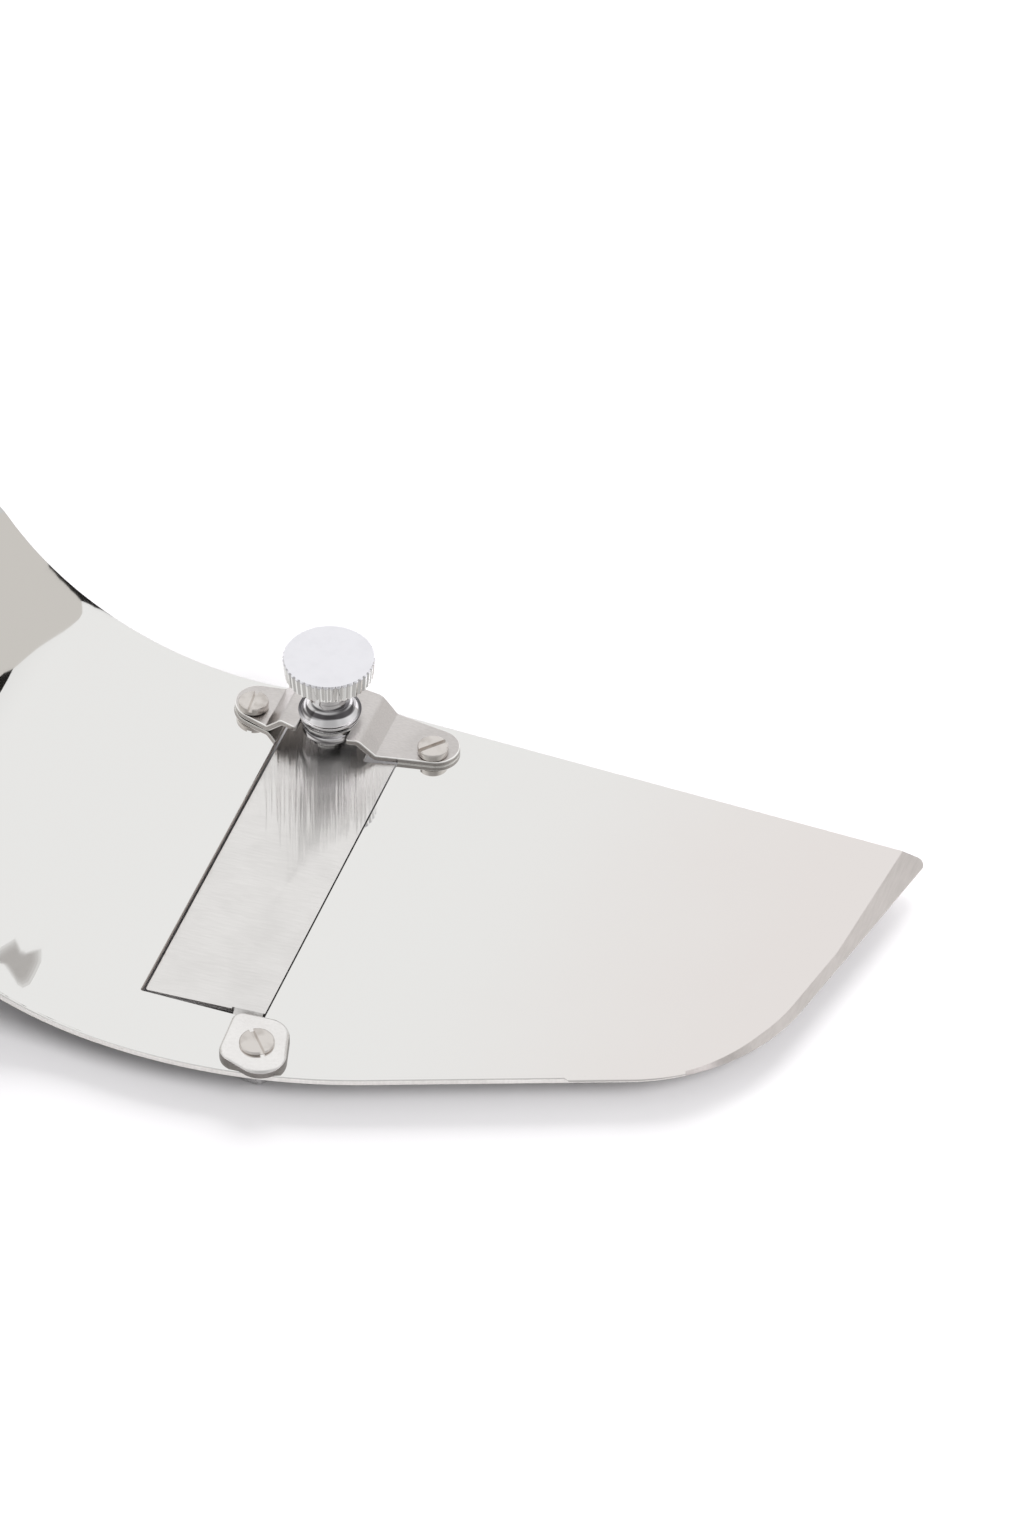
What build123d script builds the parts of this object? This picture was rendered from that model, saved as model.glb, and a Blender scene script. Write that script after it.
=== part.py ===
from build123d import *

import os
from math import asin, atan2, cos, degrees, hypot, radians, sin, tan

os.makedirs("parts", exist_ok=True)

# Truffle slicer: one bent sheet of polished steel that carries a tilted blade in a window,
# a clamp at the blade's front end, and a knob under a bridge that lifts its back end.
# Sizes are in millimetres. x runs to the nose, y to the back edge and z up. The knob's axis
# is at x = 0 and y = 0, and the three screw ends under the deck stand on z = 0.

# Sheet body, seen from the side
sheet = 1.2
bend_start = 11.0
bowl_radius = 58.5
bowl_angle = 60.0
crest_radius = 24.0
crest_angle = 84.0
tail_radius = 55.0
tail_angle = 30.0
run_out = 20.0

# Sheet body, outline from above: where its sides meet and the radius that rounds each corner
nose_x = 108.6
nose_back = 5.1
nose_back_round = 1.6
nose_front_x = 94.05
nose_front = 55.2
nose_front_round = 36.0
belly_x = 13.2
belly_front = 85.2
belly_round = 103.0
waist_x = 62.0
waist_front = 78.6
waist_back = 4.3
waist_round = 60.0
tail_front = 66.0
tail_inset = 8.0
tail_round = 22.0
shoulder_x = 4.0
shoulder_back = 9.05
shoulder_round = 160.0

# Ground bevel along the nose, which narrows fast from the back corner to a knee, then slowly
bevel_back = 4.65
bevel_knee = 1.6
bevel_front = 1.15
bevel_knee_y = 22.0
bevel_depth = 0.9
bevel_run = 28.0

# Blade window
window_left = 8.35
window_right = 13.8
window_inset = 15.2
window_back = 4.6
window_round = 0.4

# Blade: a strip tilted about its length, with the cutting edge on the right
blade_thick = 0.9
blade_tilt = 2.9
blade_lift = 0.05
edge_gap = 0.2
left_gap = 0.35
front_gap = 1.3
back_gap = 1.2
bevel_width = 2.2
edge_thick = 0.12
blade_round = 0.5
blade_neck = 7.8
neck_clearance = 0.35

# Tongue of the blade, which dips under the deck to the clamp
tongue_width = 5.2
tongue_inset = 0.3
tongue_dip = 1.4
tongue_gap = 0.25
tongue_under_gap = 0.15
tongue_overlap = 0.4
eye_radius = 4.4

# Clamp at the blade's front end. The cap is a rounded square drawn out to the front right;
# its corners are places about the clamp screw, clockwise from the back right one.
clamp_x = 15.3
clamp_inset = 8.7
cap_corners = [(3.6, 6.8), (7.8, -8.75), (-5.8, -4.05), (-6.35, 6.2)]
cap_rounds = [4.05, 4.4, 3.15, 1.9]
cap_height = 1.6
cap_dome = 0.9
cap_dome_steps = 3
clamp_head_radius = 3.0
spacer_wall = 0.7
spacer_clearance = 0.25

# Screws, washers and nuts of one thread size
thread_radius = 1.5
hole_clearance = 0.1
head_radius = 2.75
head_height = 1.5
head_chamfer = 0.3
slot_width = 0.8
slot_depth = 0.75
washer_radius = 3.5
washer_thick = 0.5
lock_radius = 2.8
lock_thick = 0.7
lock_split = 0.6
nut_flats = 5.5
nut_height = 2.4
nut_chamfer = 0.35
thread_clearance = 0.03
screw_end_chamfer = 0.3
screw_end_proud = 0.3
ear_lift = 0.16
clamp_slot_turn = -49.5
ear_slot_turns = [96.7, 47.5]

# Bridge bracket: a strap on two ears that holds the knob's groove in an open notch
strap = 1.1
bridge_rise = 3.1
ear_y = 2.0
ear_left = 14.25
ear_right = 19.15
ear_radius = 4.25
screw_y = 0.5
screw_left = 14.8
screw_right = 19.1
bridge_long = 11.6
bridge_wide = 13.7
bridge_round = 2.0
bridge_y = 1.75
foot_left = 10.5
foot_right = 9.5
ramp_run = 3.0
foot_bend = 1.6
crown_bend = 0.6
notch_width = 9.3
notch_round = 0.5

# Knob head, turned, with a fluted rim, a waisted neck and a collar
knob_top = 18.45
head_rim = 8.2
head_rim_low = 7.85
head_thick = 3.8
head_crown = 0.3
flute_count = 44
flute_depth = 0.36
neck_radius = 3.3
neck_top_flare = 1.6
neck_top_height = 2.6
dish_height = 2.4
neck_round = 2.2
collar_radius = 5.6
collar_height = 6.1
collar_lip = 0.45
collar_foot = 5.15

# Spindle with its groove core and retaining flange
groove_clearance = 0.1
axial_clearance = 0.05
flange_radius = 4.96
flange_thick = 1.35
flange_chamfer = 0.15
shank_radius = 2.5
shank_length = 5.5
press_clearance = 0.02
spindle_radius = 1.75
spindle_length = 5.7
spindle_tip = 0.4

# Thrust washer between the collar and the bridge
thrust_thick = 0.4
thrust_radius = 5.25
thrust_clearance = 0.1

# Threaded bush in the blade's back end
bush_radius = 2.9
bush_proud = 0.5
bush_flange = 3.8
bush_flange_thick = 1.8
bush_bore = 2.05
bush_clearance = 0.02

# Plain angles
hexagon_half = 30.0
right_angle = 90.0
full_turn = 360.0

# Values that follow from the sizes above
tongue_depth = sheet + tongue_gap
spacer_height = tongue_gap + blade_thick + tongue_under_gap
foot_depth = sheet + spacer_height + washer_thick + nut_height + screw_end_proud
deck = Plane.XY.offset(foot_depth)
side = Plane.XZ.shift_origin((0, 0, foot_depth))
hole_radius = thread_radius + hole_clearance
nut_bore = thread_radius + thread_clearance
tail_back = waist_back - tail_inset
window_front = belly_front - window_inset
clamp_y = clamp_inset - belly_front

# The blade's own planes: its top face, and its cross-section
blade_right = window_right - edge_gap
blade_left = window_left - left_gap
blade_width = (blade_left + blade_right) / cos(radians(blade_tilt))
blade_front = window_front - front_gap
blade_back = window_back - back_gap
blade_origin = (blade_right, 0, foot_depth + blade_lift)
blade_along = (cos(radians(blade_tilt)), 0, sin(radians(blade_tilt)))
blade_normal = (-sin(radians(blade_tilt)), 0, cos(radians(blade_tilt)))
blade_top = Plane(origin=blade_origin, x_dir=blade_along, z_dir=blade_normal)
blade_side = Plane(origin=blade_origin, x_dir=blade_along, z_dir=(0, -1, 0))

# The left ear lies on the start of the bowl, so its screw leans with the sheet there
ear_lean = degrees(asin((screw_left - bend_start) / bowl_radius))
ear_normal = (sin(radians(ear_lean)), 0, cos(radians(ear_lean)))
ear_rise = bowl_radius * (1 - cos(radians(ear_lean)))
ear_slope = (screw_left - bend_start) / (bowl_radius - ear_rise)
left_seat = Plane(
    origin=(-screw_left, screw_y, foot_depth + ear_rise),
    x_dir=(cos(radians(ear_lean)), 0, -sin(radians(ear_lean))),
    z_dir=ear_normal,
)
right_seat = Plane(origin=(screw_right, screw_y, foot_depth))
clamp_seat = Plane(origin=(clamp_x, clamp_y, foot_depth))
ear_seats = [left_seat, right_seat]
ear_lifts = [ear_lift, 0]

# Heights along the knob's axis
groove_radius = notch_width / 2 - groove_clearance
bridge_top = bridge_rise + strap
collar_base = bridge_top + thrust_thick + axial_clearance
flange_top = bridge_rise - axial_clearance
flange_base = flange_top - flange_thick
head_base = knob_top - head_thick
spindle_end = flange_base - spindle_length

# Half the angle that a vee flute opens across the rim
flute_turn = degrees(flute_depth / head_rim)


def sheet_face_line(drop):
    """Side view of one face of the sheet, at a depth below its top face."""
    run = Line((nose_x + run_out, -drop), (-bend_start, -drop))
    bowl = JernArc(run @ 1, run % 1, bowl_radius + drop, -bowl_angle)
    crest = JernArc(bowl @ 1, bowl % 1, crest_radius - drop, crest_angle)
    tail = JernArc(crest @ 1, crest % 1, tail_radius + drop, -tail_angle)
    return run @ 0, tail @ 1


def upright(seat):
    """Plane that holds a seat's own axis, for profiles turned about it."""
    return Plane(origin=seat.origin, x_dir=seat.x_dir, z_dir=-seat.y_dir)


def turn_about(seat, points, mode=Mode.ADD):
    """Turn one closed profile of radii and heights about a seat's axis."""
    with BuildSketch(upright(seat)) as profile:
        with BuildLine():
            Polyline(*points, close=True)
        make_face()
    revolve(profile.sketch, axis=Axis(seat.origin, seat.z_dir), mode=mode)


def slotted_screw(seat, base, end, reach, slot_turn):
    """Cheese-head screw: its head rests at one height above the seat, its tip is at another."""
    profile = [
        (0, end),
        (thread_radius - screw_end_chamfer, end),
        (thread_radius, end + screw_end_chamfer),
        (thread_radius, base),
        (reach, base),
        (reach, base + head_height - head_chamfer),
        (reach - head_chamfer, base + head_height),
        (0, base + head_height),
    ]
    turn_about(seat, profile)
    with BuildSketch(seat.offset(base + head_height)) as slot:
        Rectangle(reach * 3, slot_width, rotation=slot_turn)
    extrude(slot.sketch, amount=-slot_depth, mode=Mode.SUBTRACT)


def plain_ring(seat, base, height, inner, outer):
    """Flat ring about a seat's axis."""
    with BuildSketch(seat.offset(base)) as ring:
        Circle(outer)
        Circle(inner, mode=Mode.SUBTRACT)
    extrude(ring.sketch, amount=height)


def hexagon_nut(seat, base):
    """Hexagon nut with its corners turned off at its lower end."""
    with BuildSketch(seat.offset(base)) as hexagon:
        RegularPolygon(nut_flats / 2, 6, major_radius=False)
        Circle(nut_bore, mode=Mode.SUBTRACT)
    extrude(hexagon.sketch, amount=nut_height)
    flat = nut_flats / 2
    outer = flat / cos(radians(hexagon_half)) * 2
    drop = (outer - flat) * nut_chamfer / (flat / cos(radians(hexagon_half)) - flat)
    turn_about(seat, [(flat, base), (outer, base), (outer, base + drop)], Mode.SUBTRACT)


# The side view is worked out once to learn how far the tail reaches
with BuildLine():
    tail_x = sheet_face_line(0)[1].X

# Corners of the outline from above, and their rounds
outline = [
    (nose_x, nose_back),
    (nose_front_x, -nose_front),
    (belly_x, -belly_front),
    (-waist_x, -waist_front),
    (tail_x, -tail_front),
    (tail_x, tail_back),
    (-waist_x, waist_back),
    (-shoulder_x, shoulder_back),
]
outline_rounds = [
    nose_back_round,
    nose_front_round,
    belly_round,
    waist_round,
    tail_round,
    tail_round,
    waist_round,
    shoulder_round,
]

# Front side of the nose, where the bevel runs out, and the nose's end, where the bevel has its knee
bevel_start_x = nose_front_x - bevel_run
front_slope = (belly_front - nose_front) / (nose_front_x - belly_x)
bevel_end_y = -nose_front - front_slope * bevel_run
nose_slope = (nose_x - nose_front_x) / (nose_back + nose_front)
nose_knee_x = nose_x - nose_slope * (nose_back + bevel_knee_y)

# What the bevel takes off the nose: a block less a nose that narrows upward
with BuildPart() as bevel_cutter:
    with BuildSketch(deck.offset(-bevel_depth)):
        with Locations((bevel_start_x, 0)):
            Rectangle(nose_x, belly_front * 2, align=(Align.MIN, Align.CENTER))
    extrude(amount=bevel_depth)
    with BuildSketch(deck.offset(-bevel_depth)):
        with BuildLine():
            FilletPolyline(
                (bevel_start_x, shoulder_back + run_out),
                (nose_x, shoulder_back + run_out),
                (nose_x, nose_back),
                (nose_knee_x, -bevel_knee_y),
                (nose_front_x, -nose_front),
                (bevel_start_x, bevel_end_y),
                radius=[0, 0, nose_back_round, 0, nose_front_round, 0],
                close=True,
            )
        make_face()
    with BuildSketch(deck):
        with BuildLine():
            FilletPolyline(
                (bevel_start_x, shoulder_back + run_out),
                (nose_x - bevel_back, shoulder_back + run_out),
                (nose_x - bevel_back, nose_back),
                (nose_knee_x - bevel_knee, -bevel_knee_y),
                (nose_front_x - bevel_front, -nose_front + bevel_front),
                (bevel_start_x, bevel_end_y),
                radius=[0, 0, nose_back_round, 0, nose_front_round, 0],
                close=True,
            )
        make_face()
    loft(ruled=True, mode=Mode.SUBTRACT)

# Body plate: the bent sheet, cut to its outline, with the blade window and screw holes
with BuildPart() as body_plate:
    with BuildSketch(side):
        with BuildLine():
            top_ends = sheet_face_line(0)
            low_ends = sheet_face_line(sheet)
            Line(top_ends[0], low_ends[0])
            Line(top_ends[1], low_ends[1])
        make_face()
    extrude(amount=belly_front + run_out, both=True)
    with BuildSketch(deck):
        with BuildLine():
            FilletPolyline(*outline, radius=outline_rounds, close=True)
        make_face()
    extrude(amount=bowl_radius + crest_radius, both=True, mode=Mode.INTERSECT)
    add(bevel_cutter.part, mode=Mode.SUBTRACT)
    with BuildSketch(deck) as window:
        with BuildLine():
            Polyline(
                (-window_left, -window_front),
                (window_right, -window_front),
                (window_right, window_back),
                (-window_left, window_back),
                close=True,
            )
        make_face()
        fillet(window.vertices(), window_round)
    extrude(amount=-sheet, mode=Mode.SUBTRACT)
    for seat in ear_seats + [clamp_seat]:
        with BuildSketch(seat):
            Circle(hole_radius)
        extrude(amount=sheet * 2, both=True, mode=Mode.SUBTRACT)
body_plate.part.label = "body_plate"
export_step(body_plate.part, "parts/body_plate.step")

# Blade: a ground strip tilted in its window, with a tongue that dips under the deck to an eye
tongue_root = blade_front - tongue_overlap
tongue_end = tongue_root + tongue_dip
tongue_right = blade_right - tongue_inset
tongue_left = tongue_right - tongue_width
spacer_radius = nut_bore + spacer_wall
bush_middle = (bush_proud - blade_thick - bush_flange_thick) / 2
bush_x = (bush_middle * sin(radians(blade_tilt)) - blade_right) / cos(radians(blade_tilt))
bush_seat = Plane(
    origin=blade_top.from_local_coords((bush_x, 0, 0)),
    x_dir=blade_along,
    z_dir=blade_normal,
)
tongue_floor = deck.offset(-tongue_depth - blade_thick)

# The right ear reaches over the window, so the blade is cut back along the ear's front edge.
# That edge is the tangent from the ear's round to the bridge's front corner.
corner_x = bridge_long / 2 - bridge_round
corner_y = bridge_y - bridge_wide / 2 + bridge_round
edge_run = ear_right - corner_x
edge_climb = ear_y - corner_y
edge_turn = atan2(edge_climb, edge_run) - asin((ear_radius - bridge_round) / hypot(edge_run, edge_climb))
edge_slope = tan(edge_turn)
edge_y = ear_y - ear_radius / cos(edge_turn) - edge_slope * ear_right - neck_clearance / cos(edge_turn)
neck_end = blade_right + bevel_width
neck_cut = [
    (blade_neck, edge_y + edge_slope * blade_neck),
    (neck_end, edge_y + edge_slope * neck_end),
    (neck_end, window_back + window_round),
    (blade_neck, window_back + window_round),
]
with BuildPart() as blade:
    with BuildSketch(blade_side.offset(-blade_back)):
        with BuildLine():
            Polyline(
                (-blade_width, 0),
                (0, 0),
                (0, -edge_thick),
                (-bevel_width, -blade_thick),
                (-blade_width, -blade_thick),
                close=True,
            )
        make_face()
    extrude(amount=blade_back + blade_front)
    with BuildSketch(deck.offset(blade_thick)):
        with BuildLine():
            FilletPolyline(*neck_cut, radius=[blade_round, 0, 0, 0], close=True)
        make_face()
    extrude(amount=-foot_depth, mode=Mode.SUBTRACT)
    fillet(blade.edges().filter_by(Axis(blade_origin, blade_normal)).sort_by(Axis.X)[:2], blade_round)
    with BuildSketch(blade_side.offset(tongue_root)):
        with Locations((-tongue_inset - tongue_width - tongue_overlap, 0)):
            Rectangle(blade_width, blade_thick * 3, align=(Align.MIN, Align.CENTER))
    extrude(amount=tongue_overlap * 2, mode=Mode.SUBTRACT)
    with BuildSketch(blade_side.offset(tongue_root)):
        with Locations((-tongue_inset, 0)):
            Rectangle(tongue_width, blade_thick, align=(Align.MAX, Align.MAX))
    with BuildSketch(Plane(origin=(0, -tongue_end, foot_depth), x_dir=(1, 0, 0), z_dir=(0, -1, 0))):
        with Locations((tongue_right, -tongue_depth)):
            Rectangle(tongue_width, blade_thick, align=(Align.MAX, Align.MAX))
    loft(ruled=True)
    with BuildSketch(tongue_floor):
        with BuildLine():
            Line((tongue_left, -tongue_end), (tongue_right, -tongue_end))
            CenterArc((clamp_x, clamp_y), eye_radius, 0, 360)
        make_hull()
        with Locations((clamp_x, clamp_y)):
            Circle(spacer_radius + spacer_clearance, mode=Mode.SUBTRACT)
    extrude(amount=blade_thick)
    with BuildSketch(bush_seat):
        Circle(bush_radius + bush_clearance)
    extrude(amount=-blade_thick, mode=Mode.SUBTRACT)
blade.part.label = "blade"
export_step(blade.part, "parts/blade.step")

# Bush riveted in the blade's back end, which the spindle turns in
with BuildPart() as blade_bush:
    bush_profile = [
        (bush_bore, bush_proud),
        (bush_radius, bush_proud),
        (bush_radius, -blade_thick),
        (bush_flange, -blade_thick),
        (bush_flange, -blade_thick - bush_flange_thick),
        (bush_bore, -blade_thick - bush_flange_thick),
    ]
    turn_about(bush_seat, bush_profile)
blade_bush.part.label = "blade_bush"
export_step(blade_bush.part, "parts/blade_bush.step")

# Clamp cap on the deck, its edge domed in a few even steps
cap_levels = [(0, 0)]
for step in range(cap_dome_steps + 1):
    share = radians(right_angle * step / cap_dome_steps)
    cap_levels.append((cap_dome * (1 - cos(share)), cap_height - cap_dome * (1 - sin(share))))
with BuildPart() as clamp_cap:
    for levels in zip(cap_levels, cap_levels[1:]):
        for inset, lift in levels:
            with BuildSketch(clamp_seat.offset(lift)):
                with BuildLine():
                    FilletPolyline(*cap_corners, radius=cap_rounds, close=True)
                make_face()
                if inset > 0:
                    offset(amount=-inset)
        loft(ruled=True)
    with BuildSketch(clamp_seat):
        Circle(hole_radius)
    extrude(amount=cap_height, mode=Mode.SUBTRACT)
clamp_cap.part.label = "clamp_cap"
export_step(clamp_cap.part, "parts/clamp_cap.step")

# Clamp screw through the cap, the deck and the blade's eye
with BuildPart() as clamp_screw:
    slotted_screw(clamp_seat, cap_height, -foot_depth, clamp_head_radius, clamp_slot_turn)
clamp_screw.part.label = "clamp_screw"
export_step(clamp_screw.part, "parts/clamp_screw.step")

# Spacer that the blade's eye fits around, with a washer and a nut below it
spacer_base = -sheet - spacer_height
with BuildPart() as clamp_spacer:
    plain_ring(clamp_seat, spacer_base, spacer_height, nut_bore, spacer_radius)
clamp_spacer.part.label = "clamp_spacer"
export_step(clamp_spacer.part, "parts/clamp_spacer.step")

with BuildPart() as clamp_washer:
    plain_ring(clamp_seat, spacer_base - washer_thick, washer_thick, hole_radius, washer_radius)
clamp_washer.part.label = "clamp_washer"
export_step(clamp_washer.part, "parts/clamp_washer.step")

with BuildPart() as clamp_nut:
    hexagon_nut(clamp_seat, spacer_base - washer_thick - nut_height)
clamp_nut.part.label = "clamp_nut"
export_step(clamp_nut.part, "parts/clamp_nut.step")

# Bridge bracket: a strap bent up over the knob's flange, cut to its outline from above
ear_reach = ear_left + ear_radius + run_out
ear_end = ear_rise + ear_lift + ear_slope * (ear_reach - screw_left)
foot_rise = ear_rise + ear_lift - ear_slope * (screw_left - foot_left)
with BuildPart() as bridge_bracket:
    with BuildSketch(side):
        with BuildLine():
            underside = FilletPolyline(
                (-ear_reach, ear_end),
                (-foot_left, foot_rise),
                (ramp_run - foot_left, bridge_rise),
                (foot_right - ramp_run, bridge_rise),
                (foot_right, 0),
                (ear_right + ear_radius + run_out, 0),
                radius=[foot_bend, crown_bend, crown_bend, foot_bend],
            )
            offset(underside, amount=strap, side=Side.LEFT, closed=True)
        make_face()
    extrude(amount=bridge_wide * 2, both=True)
    with BuildSketch(Plane.XY) as bracket_plan:
        with Locations((-ear_left, ear_y), (ear_right, ear_y)):
            Circle(ear_radius)
        with Locations((0, bridge_y)):
            RectangleRounded(bridge_long, bridge_wide, bridge_round)
        make_hull()
        Circle(notch_width / 2, mode=Mode.SUBTRACT)
        Rectangle(notch_width, bridge_wide, align=(Align.CENTER, Align.MAX), mode=Mode.SUBTRACT)
        fillet(bracket_plan.vertices().sort_by(Axis.Y)[:2], notch_round)
    extrude(amount=foot_depth + bowl_radius, mode=Mode.INTERSECT)
    for seat in ear_seats:
        with BuildSketch(seat):
            Circle(hole_radius)
        extrude(amount=strap * 2, both=True, mode=Mode.SUBTRACT)
bridge_bracket.part.label = "bridge_bracket"
export_step(bridge_bracket.part, "parts/bridge_bracket.step")

# Two screws that hold the ears, with lock washers and nuts under the deck
tip_radius = thread_radius - screw_end_chamfer
left_end = (foot_depth + ear_rise - tip_radius * sin(radians(ear_lean))) / cos(radians(ear_lean))
screw_ends = [-left_end, -foot_depth]
with BuildPart() as bracket_screws:
    for seat, lift, end, slot_turn in zip(ear_seats, ear_lifts, screw_ends, ear_slot_turns):
        slotted_screw(seat, lift + strap, end, head_radius, slot_turn)
bracket_screws.part.label = "bracket_screws"
export_step(bracket_screws.part, "parts/bracket_screws.step")

with BuildPart() as bracket_lock_washers:
    for seat in ear_seats:
        plain_ring(seat, -sheet - lock_thick, lock_thick, hole_radius, lock_radius)
        with BuildSketch(seat.offset(-sheet)):
            Rectangle(lock_radius * 2, lock_split, align=(Align.MIN, Align.CENTER))
        extrude(amount=-lock_thick, mode=Mode.SUBTRACT)
bracket_lock_washers.part.label = "bracket_lock_washers"
export_step(bracket_lock_washers.part, "parts/bracket_lock_washers.step")

with BuildPart() as bracket_nuts:
    for seat in ear_seats:
        hexagon_nut(seat, -sheet - lock_thick - nut_height)
bracket_nuts.part.label = "bracket_nuts"
export_step(bracket_nuts.part, "parts/bracket_nuts.step")


def fluted_disc(base, low_reach, top, high_reach):
    """Slice of the fluted head between two heights, each with its own reach to the rim."""
    slices = []
    for height, reach in ((base, low_reach), (top, high_reach)):
        corners = []
        for flute in range(flute_count):
            middle = full_turn * flute / flute_count
            for corner_reach, turn in ((reach, -flute_turn), (reach - flute_depth, 0), (reach, flute_turn)):
                corner_angle = radians(middle + turn)
                corners.append((corner_reach * cos(corner_angle), corner_reach * sin(corner_angle)))
        with BuildSketch(deck.offset(height)) as slice_outline:
            with BuildLine():
                Polyline(*corners, close=True)
            make_face()
        slices.append(slice_outline.sketch)
    loft(slices, ruled=True)


# Knob head, turned in one piece with its waisted neck and dished collar
with BuildPart() as knob_head:
    with BuildSketch(side):
        with BuildLine():
            FilletPolyline(
                (0, head_base),
                (neck_radius + neck_top_flare, head_base),
                (neck_radius, head_base - neck_top_height),
                (neck_radius, collar_height + dish_height),
                (collar_radius - collar_lip, collar_height),
                (collar_radius, collar_height),
                (collar_radius, collar_height - collar_lip),
                (collar_foot, collar_base),
                (0, collar_base),
                radius=[0, 0, 0, neck_round, 0, 0, 0, 0, 0],
                close=True,
            )
        make_face()
    revolve(axis=Axis(side.origin, deck.z_dir))
    fluted_disc(head_base, head_rim_low, knob_top - head_crown, head_rim)
    fluted_disc(knob_top - head_crown, head_rim, knob_top, head_rim - head_crown)
    with BuildSketch(deck.offset(collar_base)):
        Circle(shank_radius + press_clearance)
    extrude(amount=shank_length + press_clearance, mode=Mode.SUBTRACT)
knob_head.part.label = "knob_head"
export_step(knob_head.part, "parts/knob_head.step")

# Spindle: its shank sits in the knob, its core turns in the notch, its flange hooks below
with BuildPart() as knob_spindle:
    spindle_profile = [
        (0, collar_base + shank_length),
        (shank_radius, collar_base + shank_length),
        (shank_radius, collar_base),
        (groove_radius, collar_base),
        (groove_radius, flange_top),
        (flange_radius - flange_chamfer, flange_top),
        (flange_radius, flange_top - flange_chamfer),
        (flange_radius, flange_base + flange_chamfer),
        (flange_radius - flange_chamfer, flange_base),
        (spindle_radius, flange_base),
        (spindle_radius, spindle_end + spindle_tip),
        (spindle_radius - spindle_tip, spindle_end),
        (0, spindle_end),
    ]
    turn_about(deck, spindle_profile)
knob_spindle.part.label = "knob_spindle"
export_step(knob_spindle.part, "parts/knob_spindle.step")

# Thrust washer between the collar and the bridge
with BuildPart() as thrust_washer:
    plain_ring(deck, bridge_top, thrust_thick, groove_radius + thrust_clearance, thrust_radius)
thrust_washer.part.label = "thrust_washer"
export_step(thrust_washer.part, "parts/thrust_washer.step")

# Two sizes that the driving values lead to
print("overall length", round(nose_x - tail_x, 2))
print("deck height over the screw ends", foot_depth)
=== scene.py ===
import math

import bmesh
import bpy
import numpy as np
from mathutils import Matrix, Vector
from mathutils.geometry import delaunay_2d_cdt


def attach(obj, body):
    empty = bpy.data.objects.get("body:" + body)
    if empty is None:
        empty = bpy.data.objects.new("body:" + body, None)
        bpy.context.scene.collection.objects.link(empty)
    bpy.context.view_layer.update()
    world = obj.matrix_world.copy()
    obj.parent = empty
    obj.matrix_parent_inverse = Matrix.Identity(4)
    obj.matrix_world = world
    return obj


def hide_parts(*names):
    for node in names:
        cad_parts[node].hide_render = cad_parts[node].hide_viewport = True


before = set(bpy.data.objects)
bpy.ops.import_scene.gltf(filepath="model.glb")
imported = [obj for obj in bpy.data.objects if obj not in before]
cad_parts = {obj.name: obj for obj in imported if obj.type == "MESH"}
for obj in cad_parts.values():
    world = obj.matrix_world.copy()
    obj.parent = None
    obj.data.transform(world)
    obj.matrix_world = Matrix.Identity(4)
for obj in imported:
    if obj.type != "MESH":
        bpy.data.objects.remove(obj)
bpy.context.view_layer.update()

mm = 0.001
deckHeight = 5.7  # the deck's top face over the table; millimetres unless a comment says metres


# a socket that can be added, multiplied and so on
class Wire:
    def __init__(self, graph, socket):
        self.graph = graph
        self.socket = socket

    def mathNode(self, operation, first, second):
        node = self.graph.node("ShaderNodeMath", {"operation": operation}, {0: first, 1: second})
        return self.graph.wire(node)

    def __add__(self, other):
        return self.mathNode("ADD", self, other)

    def __radd__(self, other):
        return self.mathNode("ADD", other, self)

    def __sub__(self, other):
        return self.mathNode("SUBTRACT", self, other)

    def __rsub__(self, other):
        return self.mathNode("SUBTRACT", other, self)

    def __mul__(self, other):
        return self.mathNode("MULTIPLY", self, other)

    def __truediv__(self, other):
        return self.mathNode("DIVIDE", self, other)

    def __pow__(self, other):
        return self.mathNode("POWER", self, other)

    def least(self, other):
        return self.mathNode("MINIMUM", self, other)

    def most(self, other):
        return self.mathNode("MAXIMUM", self, other)


# one node tree, for a finish, the studio or a geometry rule
class Graph:
    def __init__(self, tree):
        self.tree = tree

    def wire(self, node, output=0):
        return Wire(self, node.outputs[output])

    def node(self, kind, settings=None, sockets=None):
        node = self.tree.nodes.new(kind)
        for name, value in (settings or {}).items():
            setattr(node, name, value)
        for name, value in (sockets or {}).items():
            self.plug(node.inputs[name], value)
        return node

    def plug(self, socket, value):
        if isinstance(value, Wire):
            self.tree.links.new(value.socket, socket)
        else:
            socket.default_value = value

    def soften(self, value, low, high):
        # 0 below one value, 1 above another and a smooth step between them
        limits = {"Value": value, "From Min": low, "From Max": high}
        return self.wire(self.node("ShaderNodeMapRange", {"interpolation_type": "SMOOTHSTEP"}, limits))


def freshTree(owner):
    # the emptied node tree of a material or a world
    owner.use_nodes = True
    owner.node_tree.nodes.clear()
    return Graph(owner.node_tree)


def startFinish(name):
    material = bpy.data.materials.new(name)
    graph = freshTree(material)
    shader = graph.node("ShaderNodeBsdfPrincipled", None, {"Metallic": 1.0})
    graph.node("ShaderNodeOutputMaterial", None, {"Surface": graph.wire(shader)})
    place = graph.wire(graph.node("ShaderNodeTexCoord"), "Object")
    return material, graph, shader, place


def grain(graph, place, stretch, size, detail=2.0, turn=0.0):
    # noise drawn out along one direction: stretch holds a factor for x, y and z
    scale = [1.0 / s for s in stretch]
    turned = {"Vector": place, "Scale": scale, "Rotation": (0.0, 0.0, turn)}
    mapping = graph.node("ShaderNodeMapping", {"vector_type": "TEXTURE"}, turned)
    sockets = {"Vector": graph.wire(mapping), "Scale": 1.0 / (size * mm), "Detail": detail}
    noise = graph.node("ShaderNodeTexNoise", None, {**sockets, "Roughness": 0.6})
    return graph.wire(noise, "Fac")


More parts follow.
